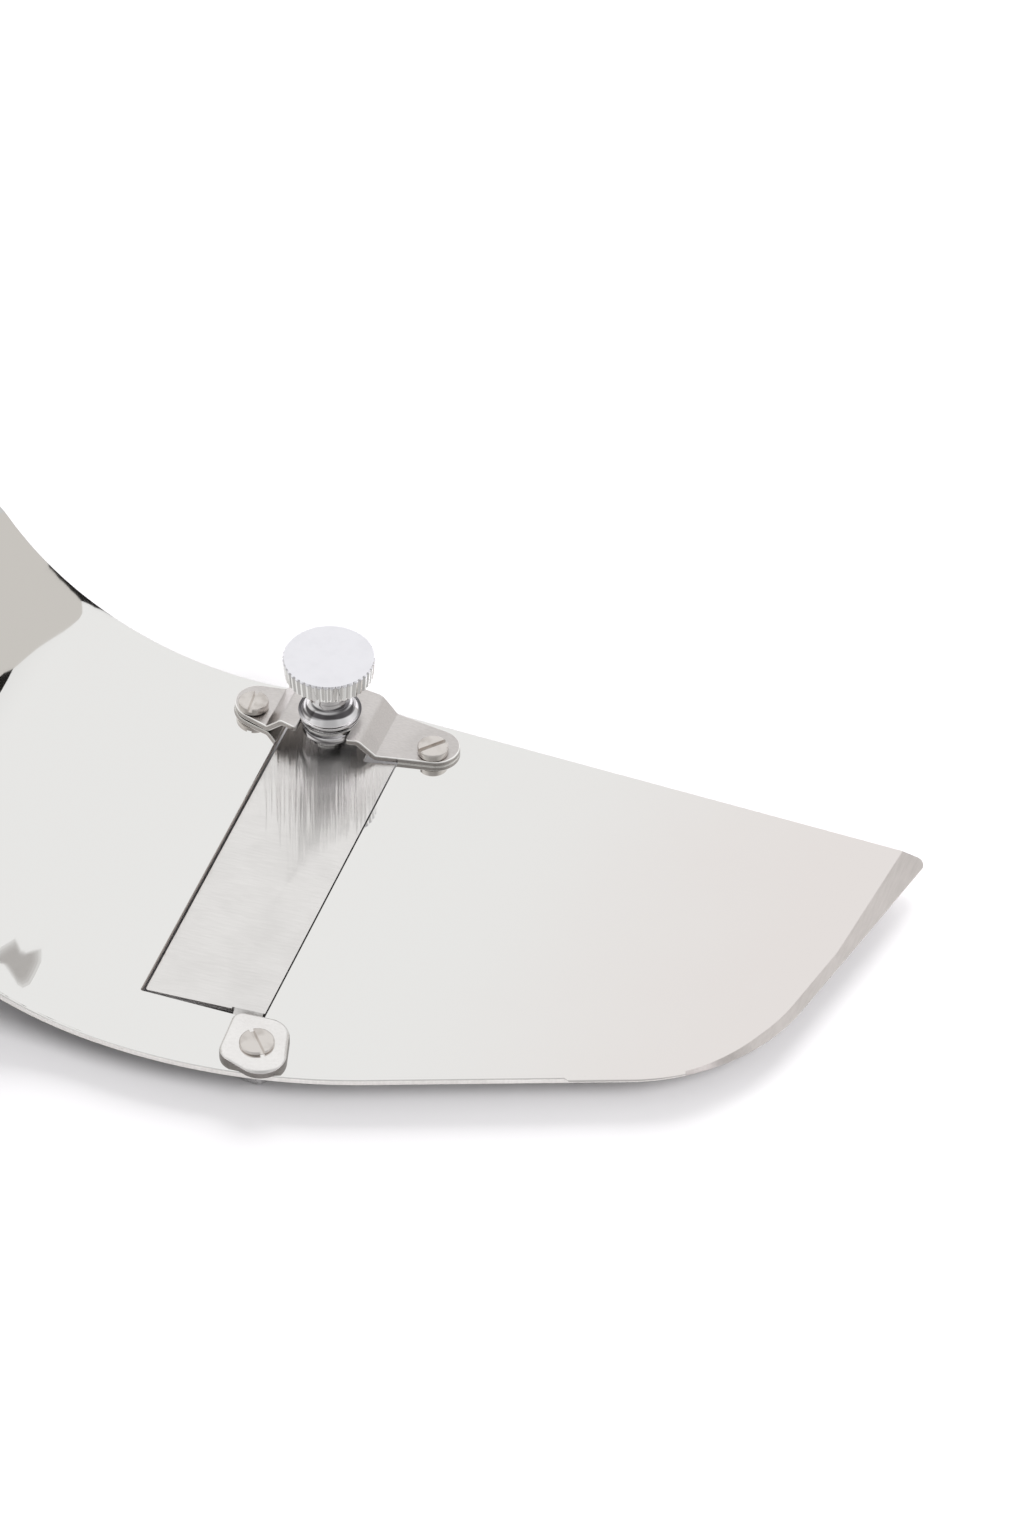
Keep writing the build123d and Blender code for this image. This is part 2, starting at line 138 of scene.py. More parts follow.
def alongAxis(graph, place, axis):
    return graph.wire(graph.node("ShaderNodeSeparateXYZ", None, {"Vector": place}), axis)


def blend(graph, amount, low, high):
    # between two colours, each a value or a wire; a colour mix has its colour sockets after the others
    mix = graph.node("ShaderNodeMix", {"data_type": "RGBA"}, {"Factor": amount, 6: low, 7: high})
    return graph.wire(mix, 2)


def tint(graph, amount, low, high):
    return blend(graph, amount, (*low, 1.0), (*high, 1.0))


def bump(graph, height, strength, depth):
    sockets = {"Height": height, "Strength": strength, "Distance": depth * mm}
    return graph.wire(graph.node("ShaderNodeBump", None, sockets), "Normal")


def feed(graph, shader, **sockets):
    # an underscore in a name stands for a space in the socket's
    for name, value in sockets.items():
        graph.plug(shader.inputs[name.replace("_", " ")], value)


# steel finishes: a light and a dull tone, the roughness when new, what wear adds; the run of the mirror's
# painted shade, darker and warmer toward the nose, is in metres
mirrorLook = {
    "light": (0.80, 0.795, 0.78),
    "shadeTone": (0.775, 0.735, 0.715),
    "shadeRun": (0.040, 0.110),
    "shadeDrift": 0.02,
    "gloss": 0.012,
    "haze": 0.03,
    "cloudSize": 22.0,
    "cloudShown": (0.3, 0.75),
    "hairSize": 0.25,
    "hairTurn": 0.35,
    "hairShown": (0.70, 0.78),
    "crossSize": 0.3,
    "crossTurn": -0.2,
    "crossShown": (0.71, 0.79),
    "unevenDepth": 0.02,
}
bandLook = {"light": (0.64, 0.60, 0.58), "dull": (0.56, 0.525, 0.505), "gloss": 0.32, "haze": 0.12}
edgeLook = {"light": (0.92, 0.90, 0.87), "dull": (0.82, 0.80, 0.77), "gloss": 0.42, "haze": 0.12}
wallLook = {"light": (0.66, 0.60, 0.57), "dull": (0.54, 0.49, 0.46), "gloss": 0.5, "haze": 0.1}
bladeLook = {
    "light": (0.785, 0.77, 0.755),
    "dull": (0.725, 0.71, 0.695),
    "gloss": 0.19,
    "haze": 0.05,
    "lineSize": 0.25,
    "wave": 1.4,
    "waveDepth": 0.3,
    "waveTurn": 0.36,
    "lean": -500.0,
}
bracketLook = {"light": (0.67, 0.64, 0.625), "dull": (0.54, 0.515, 0.50), "gloss": 0.26, "haze": 0.12}
# painted shade for the bracket's underside and walls and for the cap's sides, and a painted highlight for
# the bracket's broken edges
shadeLook = {"light": (0.30, 0.28, 0.265), "dull": (0.16, 0.15, 0.14), "gloss": 0.30, "haze": 0.15}
sideShadeLook = {"light": (0.50, 0.47, 0.45), "dull": (0.34, 0.32, 0.305), "gloss": 0.20, "haze": 0.12}
edgeHighlightLook = {"light": (0.95, 0.94, 0.92), "dull": (0.86, 0.84, 0.82), "gloss": 0.08, "haze": 0.06}
capLook = {"light": (0.86, 0.845, 0.83), "dull": (0.78, 0.76, 0.745), "gloss": 0.14, "haze": 0.10}
screwLook = {"light": (0.68, 0.645, 0.615), "dull": (0.50, 0.465, 0.435), "gloss": 0.07, "haze": 0.12}
knobLook = {"light": (0.83, 0.825, 0.86), "dull": (0.80, 0.795, 0.83), "gloss": 0.02, "haze": 0.02}
turnedLook = {"light": (0.66, 0.655, 0.65), "dull": (0.48, 0.475, 0.47), "gloss": 0.20, "haze": 0.16}

# the knob's painted reflection and painted highlight: dark and light rings on the neck stand in for what it
# mirrors, and a brighter tone on the flutes stands in for their highlights; each tone fades out between two
# heights, in metres over the table
neckReflectionLook = {
    "rise": (0.0185, 0.0204),
    "dark": (0.10, 0.095, 0.10),
    "tone": (0.78, 0.77, 0.78),
    "ring": 1.0,
    "reflectionStretch": (0.10, 0.10, 1.0),
    "reflectionShown": (0.37, 0.52),
}
fluteHighlightLook = {"rise": (0.0234, 0.0239), "tone": (0.97, 0.965, 0.96)}

# cloudy wear on satin steel, and the spots on turned steel
even = (1.0, 1.0, 1.0)
wear = {"size": 9.0, "shown": (0.35, 0.7), "lineShown": (0.3, 0.7), "lineShare": 0.6, "cloudShare": 0.4}
hazeShare = 0.5
spotted = {"size": 3.5, "shown": (0.4, 0.8), "spotShare": 0.6, "fineShare": 0.3, "fineDepth": 0.002}


def mirrorFinish(name, look):
    # polished sheet: large soft clouds in the gloss, a few hairlines from use, and a painted shade that
    # turns the tone darker and warmer toward the nose
    material, graph, shader, place = startFinish(name)
    clouds = grain(graph, place, even, look["cloudSize"])
    hairs = grain(graph, place, (1.0, 0.03, 1.0), look["hairSize"], turn=look["hairTurn"])
    crossed = grain(graph, place, (0.04, 1.0, 1.0), look["crossSize"], turn=look["crossTurn"])
    scratched = graph.soften(hairs, *look["hairShown"]).most(graph.soften(crossed, *look["crossShown"]))
    dull = graph.soften(clouds, *look["cloudShown"])
    # painted shade: along x the tone turns darker and warmer toward the nose
    drift = alongAxis(graph, place, "X") + clouds * look["shadeDrift"]
    colour = tint(graph, graph.soften(drift, *look["shadeRun"]), look["light"], look["shadeTone"])
    rough = look["gloss"] + dull * look["haze"] * hazeShare + scratched * look["haze"]
    surface = bump(graph, clouds, strength=0.10, depth=look["unevenDepth"])
    feed(graph, shader, Base_Color=colour, Roughness=rough, Normal=surface)
    return material


def wornTones(graph, shader, place, look, lines):
    # tone and roughness of satin steel: its grinding lines over cloudy wear
    worn = graph.soften(grain(graph, place, even, wear["size"]), *wear["shown"])
    lined = graph.soften(lines, *wear["lineShown"])
    mixed = lined * wear["lineShare"] + worn * wear["cloudShare"]
    colour = tint(graph, mixed, look["light"], look["dull"])
    haze = look["haze"] * hazeShare
    feed(graph, shader, Base_Color=colour, Roughness=look["gloss"] + worn * haze + lines * haze)


def drawnFinish(name, look, stretch, size, depth=0.006):
    # ground or brushed steel: grain drawn out along one direction
    material, graph, shader, place = startFinish(name)
    lines = grain(graph, place, stretch, size, detail=5.0)
    wornTones(graph, shader, place, look, lines)
    feed(graph, shader, Normal=bump(graph, lines, strength=0.6, depth=depth))
    return material


def brushedFinish(name, look):
    # the blade: grooves across it smear what it mirrors along it, long waves break that into streaks,
    # and a slight lean of its normals shifts it sideways
    material, graph, shader, place = startFinish(name)
    lines = grain(graph, place, (0.05, 1.0, 1.0), look["lineSize"], detail=3.0)
    waves = grain(graph, place, (1.0, 0.04, 1.0), look["wave"], turn=look["waveTurn"])
    leant = waves + alongAxis(graph, place, "X") * look["lean"]
    wornTones(graph, shader, place, look, lines)
    surface = bump(graph, leant, strength=0.6, depth=look["waveDepth"])
    feed(graph, shader, Anisotropic=1.0, Anisotropic_Rotation=0.25, Normal=surface)
    return material


def turnedFinish(name, look, size=0.12, neck=None, flute=None):
    # turned steel: fine even grain with dull spots where it has been handled; on the knob also a painted
    # reflection and a painted highlight
    material, graph, shader, place = startFinish(name)
    fine = grain(graph, place, (1.0, 1.0, 2.5), size, detail=4.0)
    spots = graph.soften(grain(graph, place, even, spotted["size"]), *spotted["shown"])
    colour = tint(graph, spots, look["light"], look["dull"])
    if neck:
        # the knob alone: painted reflection as dark and light rings below the neck's height, then the
        # flutes' brighter tone as a painted highlight, then the plain face
        height = alongAxis(graph, place, "Z")
        rings = grain(graph, place, neck["reflectionStretch"], neck["ring"], detail=1.0)
        paintedReflection = tint(graph, graph.soften(rings, *neck["reflectionShown"]), neck["dark"], neck["tone"])
        fluted = blend(graph, graph.soften(height, *flute["rise"]), (*flute["tone"], 1.0), colour)
        colour = blend(graph, graph.soften(height, *neck["rise"]), paintedReflection, fluted)
    rough = spots * look["haze"] * spotted["spotShare"] + fine * look["haze"] * spotted["fineShare"]
    surface = bump(graph, fine, strength=0.35, depth=spotted["fineDepth"])
    feed(graph, shader, Base_Color=colour, Roughness=look["gloss"] + rough, Normal=surface)
    return material


mirrorSteel = mirrorFinish("mirrorSteel", mirrorLook)
bandSteel = drawnFinish("groundBand", bandLook, stretch=(1.0, 0.08, 1.0), size=0.35)
edgeSteel = drawnFinish("cutEdge", edgeLook, stretch=(1.0, 1.0, 0.2), size=0.4)
wallSteel = turnedFinish("windowWall", wallLook, size=0.4)
bladeSteel = brushedFinish("brushedBlade", bladeLook)
bracketGrain = {"stretch": (0.25, 1.0, 1.0), "size": 0.22, "depth": 0.004}
bracketSteel = drawnFinish("satinBracket", bracketLook, **bracketGrain)
# painted shade for undersides, walls and the cap's sides, and a painted highlight for broken edges
shadeSteel = drawnFinish("paintedShadeSteel", shadeLook, **bracketGrain)
sideShadeSteel = drawnFinish("bracketSideShade", sideShadeLook, **bracketGrain)
edgeHighlightSteel = turnedFinish("brokenEdge", edgeHighlightLook)
capSteel = drawnFinish("clampCapSteel", capLook, stretch=(0.4, 1.0, 1.0), size=0.2, depth=0.002)
screwSteel = turnedFinish("screwSteel", screwLook)
# the knob's chrome carries the painted reflection on its neck and the painted highlight on its flutes
knobChrome = turnedFinish("knobChrome", knobLook, size=0.8, neck=neckReflectionLook, flute=fluteHighlightLook)
turnedSteel = turnedFinish("turnedSteel", turnedLook)
print("finishes ready")


def standPiece(name, data):
    # an object of its own for a mesh, a lamp or a camera
    piece = bpy.data.objects.new(name, data)
    bpy.context.scene.collection.objects.link(piece)
    return piece


def inMetres(points):
    return [tuple(c * mm for c in point) for point in points]


def evaluated(piece):
    # the mesh that a piece shows with its modifiers
    return bpy.data.meshes.new_from_object(piece.evaluated_get(bpy.context.evaluated_depsgraph_get()))


def smoothTo(mesh, degrees):
    # smooth shading with sharp edges where faces meet at more than an angle
    mesh.shade_smooth()
    mesh.set_sharp_from_angle(angle=math.radians(degrees))


def breakEdges(piece, width, segments, degrees):
    # a small bevel on the edges sharper than an angle
    edge = piece.modifiers.new("brokenEdge", "BEVEL")
    edge.width = width * mm
    edge.segments = segments
    edge.limit_method = "ANGLE"
    edge.angle_limit = math.radians(degrees)
    return edge


def closeUp(mesh, near):
    # join points nearer than a distance in metres and turn the faces outward
    work = bmesh.new()
    work.from_mesh(mesh)
    bmesh.ops.remove_doubles(work, verts=work.verts, dist=near)
    bmesh.ops.recalc_face_normals(work, faces=work.faces)
    work.to_mesh(mesh)
    work.free()


# sheet body: its bends seen from the side, and the rounding of its edges
sheet = {
    "thick": 1.2,
    "bendStart": 11.0,
    "bowlRadius": 58.5,
    "bowlAngle": 60.0,
    "crestRadius": 24.0,
    "crestAngle": 84.0,
    "tailRadius": 55.0,
    "tailAngle": 30.0,
    "rimFront": 0.42,
    "rimBack": 0.1,
    "rimStart": -20.0,
    "rimRun": 20.0,
    "windowRound": 0.12,
    "strip": 0.8,
}
# how the points of a rounded edge lie: shares of its rounding, and a small round beside the ground band
rim = {
    "turned": 0.29,
    "low": 0.5,
    "lowTurned": 0.15,
    "soft": 0.03,
    "ground": 0.02,
    "leans": (0.0, 0.25, 0.5, 0.5, 0.75, 1.0),
}
bowlSlope = math.radians(sheet["bowlAngle"])
bowlEnd = -sheet["bendStart"] - sheet["bowlRadius"] * math.sin(bowlSlope)
bowlTop = sheet["bowlRadius"] * (1 - math.cos(bowlSlope))
crestX = bowlEnd - sheet["crestRadius"] * math.sin(bowlSlope)
crestZ = bowlTop - sheet["crestRadius"] * math.cos(bowlSlope)
tailSlope = math.radians(sheet["bowlAngle"] - sheet["crestAngle"])
crestEnd = crestX + sheet["crestRadius"] * math.sin(tailSlope)
tailX = crestEnd + sheet["tailRadius"] * math.sin(tailSlope)
tailZ = crestZ + (sheet["crestRadius"] + sheet["tailRadius"]) * math.cos(tailSlope)
tailEnd = tailX - sheet["tailRadius"] * math.sin(math.radians(sheet["tailAngle"]) + tailSlope)


def sheetAt(x):
    # height and slope of the sheet's top face over any x
    if x >= -sheet["bendStart"]:
        return deckHeight, 0.0
    if x >= bowlEnd:
        slope = math.asin((-sheet["bendStart"] - x) / sheet["bowlRadius"])
        return deckHeight + sheet["bowlRadius"] * (1 - math.cos(slope)), slope
    if x >= crestEnd:
        slope = math.asin(max(-1.0, min(1.0, (x - crestX) / sheet["crestRadius"])))
        return deckHeight + crestZ + sheet["crestRadius"] * math.cos(slope), slope
    slope = math.asin(max(-1.0, min(1.0, (tailX - x) / sheet["tailRadius"])))
    return deckHeight + tailZ - sheet["tailRadius"] * math.cos(slope), slope


def roundedPath(corners, rounds, steps=None, sag=0.002):
    # for each corner of a closed outline, the points and outward directions of its rounding
    path = []
    count = len(corners)
    for i in range(count):
        before, here, after = (np.array(corners[(i + step) % count], float) for step in (-1, 0, 1))
        arrive = (here - before) / np.linalg.norm(here - before)
        leave = (after - here) / np.linalg.norm(after - here)
        turn = math.atan2(arrive[0] * leave[1] - arrive[1] * leave[0], float(arrive @ leave))
        radius = rounds[i]
        side = 1.0 if turn > 0 else -1.0
        normal = np.array([-arrive[1], arrive[0]])
        if radius == 0:
            path.append([(here, spun(normal, turn / 2))])
            continue
        centre = here - arrive * radius * math.tan(abs(turn) / 2) + normal * side * radius
        need = max(4, math.ceil(abs(turn) / (2 * math.acos(1 - min(0.5, sag / radius)))))
        number = steps[i] if steps else need
        outs = [spun(normal, turn * k / number) for k in range(number + 1)]
        path.append([(centre - out * side * radius, out) for out in outs])
    return path


def spun(direction, angle):
    c, s = math.cos(angle), math.sin(angle)
    return np.array([c * direction[0] - s * direction[1], s * direction[0] + c * direction[1]])


# outline from above, clockwise from the nose's back corner, and the ground band along the nose
noseBack, noseFront, belly, backMiddle = (108.6, 5.1), (94.05, -55.2), (13.2, -85.2), (-4.0, 9.05)
bowlSide = -62.0
outlineCorners = [noseBack, noseFront, belly, (bowlSide, -78.6)]
outlineCorners += [(tailEnd, -66.0), (tailEnd, -3.7), (bowlSide, 4.3), backMiddle]
outlineRounds = [1.6, 36.0, 103.0, 60.0, 22.0, 22.0, 60.0, 160.0]
windowCorners = [(-8.35, 4.6), (-8.35, -70.0), (13.8, -70.0), (13.8, 4.6)]
windowRounding = 0.4
band = {
    "depth": 0.9,
    "back": 4.65,
    "knee": 1.6,
    "kneeY": -22.0,
    "front": 1.15,
    "run": 28.0,
    "runShares": (0.2, 0.4, 0.6, 0.8, 0.93),
    "shownTo": 85.0,
    "fade": 10.0,
    "tip": 0.15,
    "beyond": 20.0,
    "apart": 0.002,
}
noseLean = (noseBack[0] - noseFront[0]) / (noseBack[1] - noseFront[1])
kneeX = noseBack[0] - noseLean * (noseBack[1] - band["kneeY"])
bandEndX = noseFront[0] - band["run"]
bandEnd = (bandEndX, noseFront[1] - (noseFront[1] - belly[1]) / (noseFront[0] - belly[0]) * band["run"])


def ringPoint(at, out, inner, drop):
    return {"at": np.array(at), "out": np.array(out), "in": np.array(inner), "drop": np.array([drop])}


def noseRing():
    # outline points along the ground band with their partners on its inner line
    low = [noseBack, (kneeX, band["kneeY"]), noseFront, bandEnd]
    innerBack = (noseBack[0] - band["back"], noseBack[1])
    innerKnee = (kneeX - band["knee"], band["kneeY"])
    innerFront = (noseFront[0] - band["front"], noseFront[1] + band["front"])
    far = [(bandEndX, band["beyond"]), (noseBack[0], band["beyond"])]
    rounds = [0, 0, outlineRounds[1], 0, 0, 0]
    lowPath = roundedPath(low + far, rounds)
    steps = [len(corner) - 1 for corner in lowPath]
    high = [innerBack, innerKnee, innerFront, bandEnd]
    highPath = roundedPath(high + far, rounds, steps)
    innerLean = (innerBack[0] - innerKnee[0]) / (innerBack[1] - innerKnee[1])
    backSlope = (backMiddle[1] - noseBack[1]) / (noseBack[0] - backMiddle[0])
    startX = innerBack[0]
    first = np.array((startX, noseBack[1] + backSlope * band["back"]))
    ring = [ringPoint(first, (0.0, 1.0), first - np.array([0.0, band["apart"] / 2]), 0.0)]
    for at, out in roundedPath(outlineCorners, outlineRounds)[0]:
        innerX = innerBack[0] - innerLean * (noseBack[1] - at[1]) if at[1] < noseBack[1] else startX
        lowX = noseBack[0] - noseLean * (noseBack[1] - at[1]) if at[1] < noseBack[1] else noseBack[0]
        share = min(1.0, (at[0] - innerX) / (lowX - innerX))
        inner = (innerX, at[1] - band["apart"] * len(ring))
        ring.append(ringPoint(at, out, inner, band["depth"] * share))
    inners = [pair[0] for pair in highPath[1] + highPath[2]]
    for (at, out), inner in zip(lowPath[1] + lowPath[2], inners):
        wide = max(0.0, min(1.0, (at[0] - band["shownTo"]) / band["fade"]))
        past = max(band["tip"], min(1.0, (band["shownTo"] - at[0]) / band["fade"]))
        inner = inner * wide + (at - out * sheet["rimFront"] * past) * (1 - wide)
        ring.append(ringPoint(at, out, inner, band["depth"]))
    last, final = ring[-1], np.array(bandEnd)
    for share in band["runShares"]:
        at = last["at"] * (1 - share) + final * share
        inner = last["in"] * (1 - share) + final * share
        if np.linalg.norm(at - inner) < sheet["rimFront"]:
            inner = at - last["out"] * sheet["rimFront"]
        ring.append(ringPoint(at, last["out"], inner, band["depth"]))
    ring.append(ringPoint(final, last["out"], final - last["out"] * sheet["rimFront"], 0.0))
    return ring


def withCuts(ring, cuts):
    # extra points where the ring crosses the strips' lines, so that the strips share them
    made = []
    near = 1e-4
    for i in range(len(ring)):
        a, b = ring[i], ring[(i + 1) % len(ring)]
        made.append(a)
        low, high = sorted((a["in"][0], b["in"][0]))
        crossed = [c for c in cuts if low + near < c < high - near]
        for c in sorted(crossed, reverse=a["in"][0] > b["in"][0]):
            share = (c - a["in"][0]) / (b["in"][0] - a["in"][0])
            point = {key: a[key] * (1 - share) + b[key] * share for key in a}
            point["in"] = np.array([c, point["in"][1]])
            made.append(point)
    return made


def rimAt(y):
    # how far the edge is rounded: much along the front, little along the back
    share = max(0.0, min(1.0, (sheet["rimStart"] - y) / sheet["rimRun"]))
    return sheet["rimBack"] + (sheet["rimFront"] - sheet["rimBack"]) * share


def sheetPoint(x, y, depth):
    height, slope = sheetAt(x)
    return (x - depth * math.sin(slope), y, height - depth * math.cos(slope))


def sheetNormal(x):
    slope = sheetAt(x)[1]
    return np.array([math.sin(slope), 0.0, math.cos(slope)])


def makeMesh(name, points, faces, slots, normals, materials):
    # a mesh whose corners carry their own normals, so that mirror faces show no facets
    mesh = bpy.data.meshes.new(name)
    mesh.from_pydata(inMetres(points), [], faces)
    for material in materials:
        mesh.materials.append(material)
    mesh.polygons.foreach_set("material_index", slots)
    mesh.polygons.foreach_set("use_smooth", [True] * len(faces))
    mesh.validate()
    mesh.normals_split_custom_set([tuple(n) for n in normals])
    mesh.update()
    return standPiece(name, mesh)


def buildPlate():
    # top face and underside in strips across the bends, joined round the outline and the window
    thick = sheet["thick"]
    levels = len(rim["leans"])
    onLine, flatEnough, joined, pastBend = 1e-3, 1e-12, 1e-5, 0.01
    cuts = list(np.arange(math.floor(tailEnd), -sheet["bendStart"] + pastBend, sheet["strip"]))
    outer = noseRing()
    for corner in roundedPath(outlineCorners, outlineRounds)[2:]:
        outer += [ringPoint(at, out, at - out * rimAt(at[1]), 0.0) for at, out in corner]
    outer = withCuts(outer, cuts)
    hole = []
    for corner in roundedPath(windowCorners, [windowRounding] * 4):
        hole += [ringPoint(at, out, at - out * sheet["windowRound"], 0.0) for at, out in corner]

    points, faces, slots, normals = [], [], [], []

    def addFace(corners, slot, cornerNormals):
        p = [np.array(points[i]) for i in corners]
        flat = np.cross(p[1] - p[0], p[2] - p[0])
        if len(p) == 4 and np.linalg.norm(flat) < flatEnough:
            flat = np.cross(p[2] - p[0], p[3] - p[0])
        if flat @ sum(cornerNormals) < 0:
            corners, cornerNormals = corners[::-1], cornerNormals[::-1]
        faces.append(corners)
        slots.append(slot)
        normals.extend(cornerNormals)

    def addRim(ring, rimHere, wall, wallFrom):
        # points from the top face round the edge to the underside; the wall's finish starts at a level
        start = len(points)
        count = len(ring)
        for p in ring:
            drop = float(p["drop"][0])
            ground = drop > rim["ground"]
            small = rimHere(p["at"][1])
            turned, low, lowTurned = (small * rim[key] for key in ("turned", "low", "lowTurned"))
            first = (rim["soft"], max(0.0, drop - rim["soft"])) if ground else (turned, turned)
            below = drop + rim["soft"] if ground else max(small, drop + rim["soft"])
            steps = [(None, 0.0), first, (0.0, below)]
            steps += [(0.0, thick - low), (lowTurned, thick - lowTurned), (low, thick)]
            for away, depth in steps:
                px, py = p["in"] if away is None else p["at"] - p["out"] * away
                points.append(sheetPoint(px, py, min(depth, thick)))
        for i in range(count):
            j = (i + 1) % count
            for k in range(levels - 1):
                a, b = start + i * levels + k, start + i * levels + k + 1
                c, d = start + j * levels + k + 1, start + j * levels + k
                corner = []
                for which, level in ((i, k), (i, k + 1), (j, k + 1), (j, k)):
                    p = ring[which]
                    up = sheetNormal(p["at"][0])
                    side = np.array([p["out"][0], p["out"][1], 0.0])
                    lean = rim["leans"][level] * math.pi
                    n = up * math.cos(lean) + side * math.sin(lean)
                    corner.append(n / np.linalg.norm(n))
                banded = max(ring[i]["drop"][0], ring[j]["drop"][0]) > rim["ground"]
                banded = banded and ring[i]["at"][0] > band["shownTo"]
                if k == 0 and banded:
                    p0, p1, p2, p3 = (np.array(points[m]) for m in (a, b, c, d))
                    flat = np.cross(p2 - p0, p1 - p3)
                    flat = flat / np.linalg.norm(flat)
                    corner = [flat if flat[2] > 0 else -flat] * 4
                slot = 1 if banded else (wall if k >= wallFrom else 0)
                addFace([a, b, c, d], slot, corner)
        return start

    outerStart = addRim(outer, rimAt, 2, 1)
    holeStart = addRim(hole, lambda y: sheet["windowRound"], 3, 2)
    flatPoints, edges, index = [], [], []
    for start, ring in ((outerStart, outer), (holeStart, hole)):
        first, count = len(flatPoints), len(ring)
        for i in range(count):
            flatPoints.append(Vector(ring[i]["in"]))
            index.append(start + i * levels)
            edges.append((first + i, first + (i + 1) % count))
    for cut in cuts:
        border = enumerate(flatPoints[:len(outer)])
        on = sorted((p[1], i) for i, p in border if abs(p[0] - cut) < onLine)
        if len(on) >= 2:
            edges.append((on[0][1], on[-1][1]))
    filled = delaunay_2d_cdt(flatPoints, edges, [], 0, joined)
    spots, triangles, origin = filled[0], filled[2], filled[3]

    def inside(spot, ring):
        odd = False
        x, y = spot
        for i in range(len(ring)):
            (x0, y0), (x1, y1) = ring[i]["in"], ring[i - 1]["in"]
            if (y0 > y) != (y1 > y) and x < (x1 - x0) * (y - y0) / (y1 - y0) + x0:
                odd = not odd
        return odd

    lost = 0
    for triangle in triangles:
        middle = sum((spots[i] for i in triangle), Vector((0, 0))) / 3
        if not inside(middle, outer) or inside(middle, hole):
            continue
        if any(not origin[i] for i in triangle):
            lost += 1
            continue
        top = [index[origin[i][0]] for i in triangle]
        up = [sheetNormal(spots[i][0]) for i in triangle]
        addFace(top, 0, up)
        addFace([i + levels - 1 for i in top], 0, [-n for n in up])
    print("plate points", len(points), "faces", len(faces), "left out", lost)
    plateSteels = [mirrorSteel, bandSteel, edgeSteel, wallSteel]
    plate = makeMesh("sheetBody", points, faces, slots, normals, plateSteels)
    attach(plate, "frame")
    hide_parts("body_plate")


buildPlate()


# copies of solids: how their faces are joined and told apart
dress = {"near": 1e-6, "flat": 0.6, "sharp": 32.0, "steep": 0.3, "edge": 0.05, "strapEdge": 0.2}


def dressCopy(node, name, body, finishes, width, segments=2):
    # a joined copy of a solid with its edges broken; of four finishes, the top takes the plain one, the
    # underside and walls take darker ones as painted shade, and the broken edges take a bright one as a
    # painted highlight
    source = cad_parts[node]
    mesh = source.data.copy()
    mesh.name = name
    mesh.materials.clear()
    for finish in finishes:
        mesh.materials.append(finish)
    work = bmesh.new()
    work.from_mesh(mesh)
    bmesh.ops.remove_doubles(work, verts=work.verts, dist=dress["near"])
    flat = math.radians(dress["flat"])
    bmesh.ops.dissolve_limit(work, angle_limit=flat, verts=work.verts, edges=work.edges)
    # painted shade: faces turned down or sideways take the darker finishes
    for face in work.faces:
        rise = face.normal.z
        level = 1 if rise < -dress["steep"] else (2 if rise < dress["steep"] else 0)
        face.material_index = level if len(finishes) > 1 else 0
    work.to_mesh(mesh)
    work.free()
    piece = standPiece(name, mesh)
    smoothTo(mesh, dress["sharp"])
    edge = breakEdges(piece, width, segments, dress["sharp"])
    edge.harden_normals = True
    # painted highlight: with several finishes, the bevel's new faces take the last one, which is bright
    edge.material = len(finishes) - 1 if len(finishes) > 1 else -1
    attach(piece, body)
    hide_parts(node)


dressCopy("blade", "bladeStrip", "blade", [bladeSteel], dress["edge"])
bracketSteels = [bracketSteel, shadeSteel, sideShadeSteel, edgeHighlightSteel]
dressCopy("bridge_bracket", "bridgeStrap", "frame", bracketSteels, dress["strapEdge"], 3)
dressCopy("knob_spindle", "spindle", "knob", [knobChrome], dress["edge"])
dressCopy("thrust_washer", "thrustRing", "frame", [turnedSteel], dress["edge"])
hidden = ["bracket_lock_washers", "bracket_nuts", "blade_bush", "clamp_spacer", "clamp_washer", "clamp_nut"]
for node in hidden:
    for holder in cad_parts[node].material_slots:
        holder.material = turnedSteel
print("copies dressed")


# clamp cap: a rounded square drawn out to the front right, with a domed edge
cap = {
    "place": (15.3, -76.5),
    "corners": [(3.6, 6.8), (7.8, -8.75), (-5.8, -4.05), (-6.35, 6.2)],
    "rounds": [4.05, 4.4, 3.15, 1.9],
    "high": 1.6,
    "dome": 0.9,
    "bore": 1.6,
    "levels": 12,
    "wallLean": 0.4,
    "sag": 0.0004,
    "near": 1e-8,
    "sharp": 40.0,
}


def buildCap():
    # rings from the foot over the dome to the bore and back, each with the same number of points
    rounded = roundedPath(cap["corners"], cap["rounds"], None, cap["sag"])
    outline = [pair for corner in rounded for pair in corner]
    count = len(outline)
    middleX, middleY = cap["place"]
    dome = cap["dome"]
    levels = [(0.0, 0.0)]
    for k in range(cap["levels"] + 1):
        turn = math.pi / 2 * k / cap["levels"]
        levels.append((dome * (1 - math.cos(turn)), cap["high"] - dome * (1 - math.sin(turn))))
    points = []
    for inset, lift in levels:
        for at, out in outline:
            x, y = at - out * inset
            points.append((middleX + x, middleY + y, deckHeight + lift))
    for lift in (cap["high"], 0.0):
        for at, out in outline:
            turn = math.atan2(at[1], at[0])
            x, y = cap["bore"] * math.cos(turn), cap["bore"] * math.sin(turn)
            points.append((middleX + x, middleY + y, deckHeight + lift))
    rings = len(levels) + 2
    faces = []
    for ring in range(rings):
        for k in range(count):
            n = (k + 1) % count
            above = (ring + 1) % rings
            faces.append([ring * count + k, ring * count + n, above * count + n, above * count + k])
    mesh = bpy.data.meshes.new("clampCap")
    mesh.from_pydata(inMetres(points), [], faces)
    closeUp(mesh, cap["near"])
    mesh.materials.append(capSteel)
    # painted shade: the cap's steep sides take the dark shade finish
    mesh.materials.append(shadeSteel)
    for face in mesh.polygons:
        face.material_index = 1 if face.normal.z < cap["wallLean"] else 0
    smoothTo(mesh, cap["sharp"])
    piece = standPiece("clampCap", mesh)
    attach(piece, "frame")
    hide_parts("clamp_cap")


buildCap()
print("cap domed")


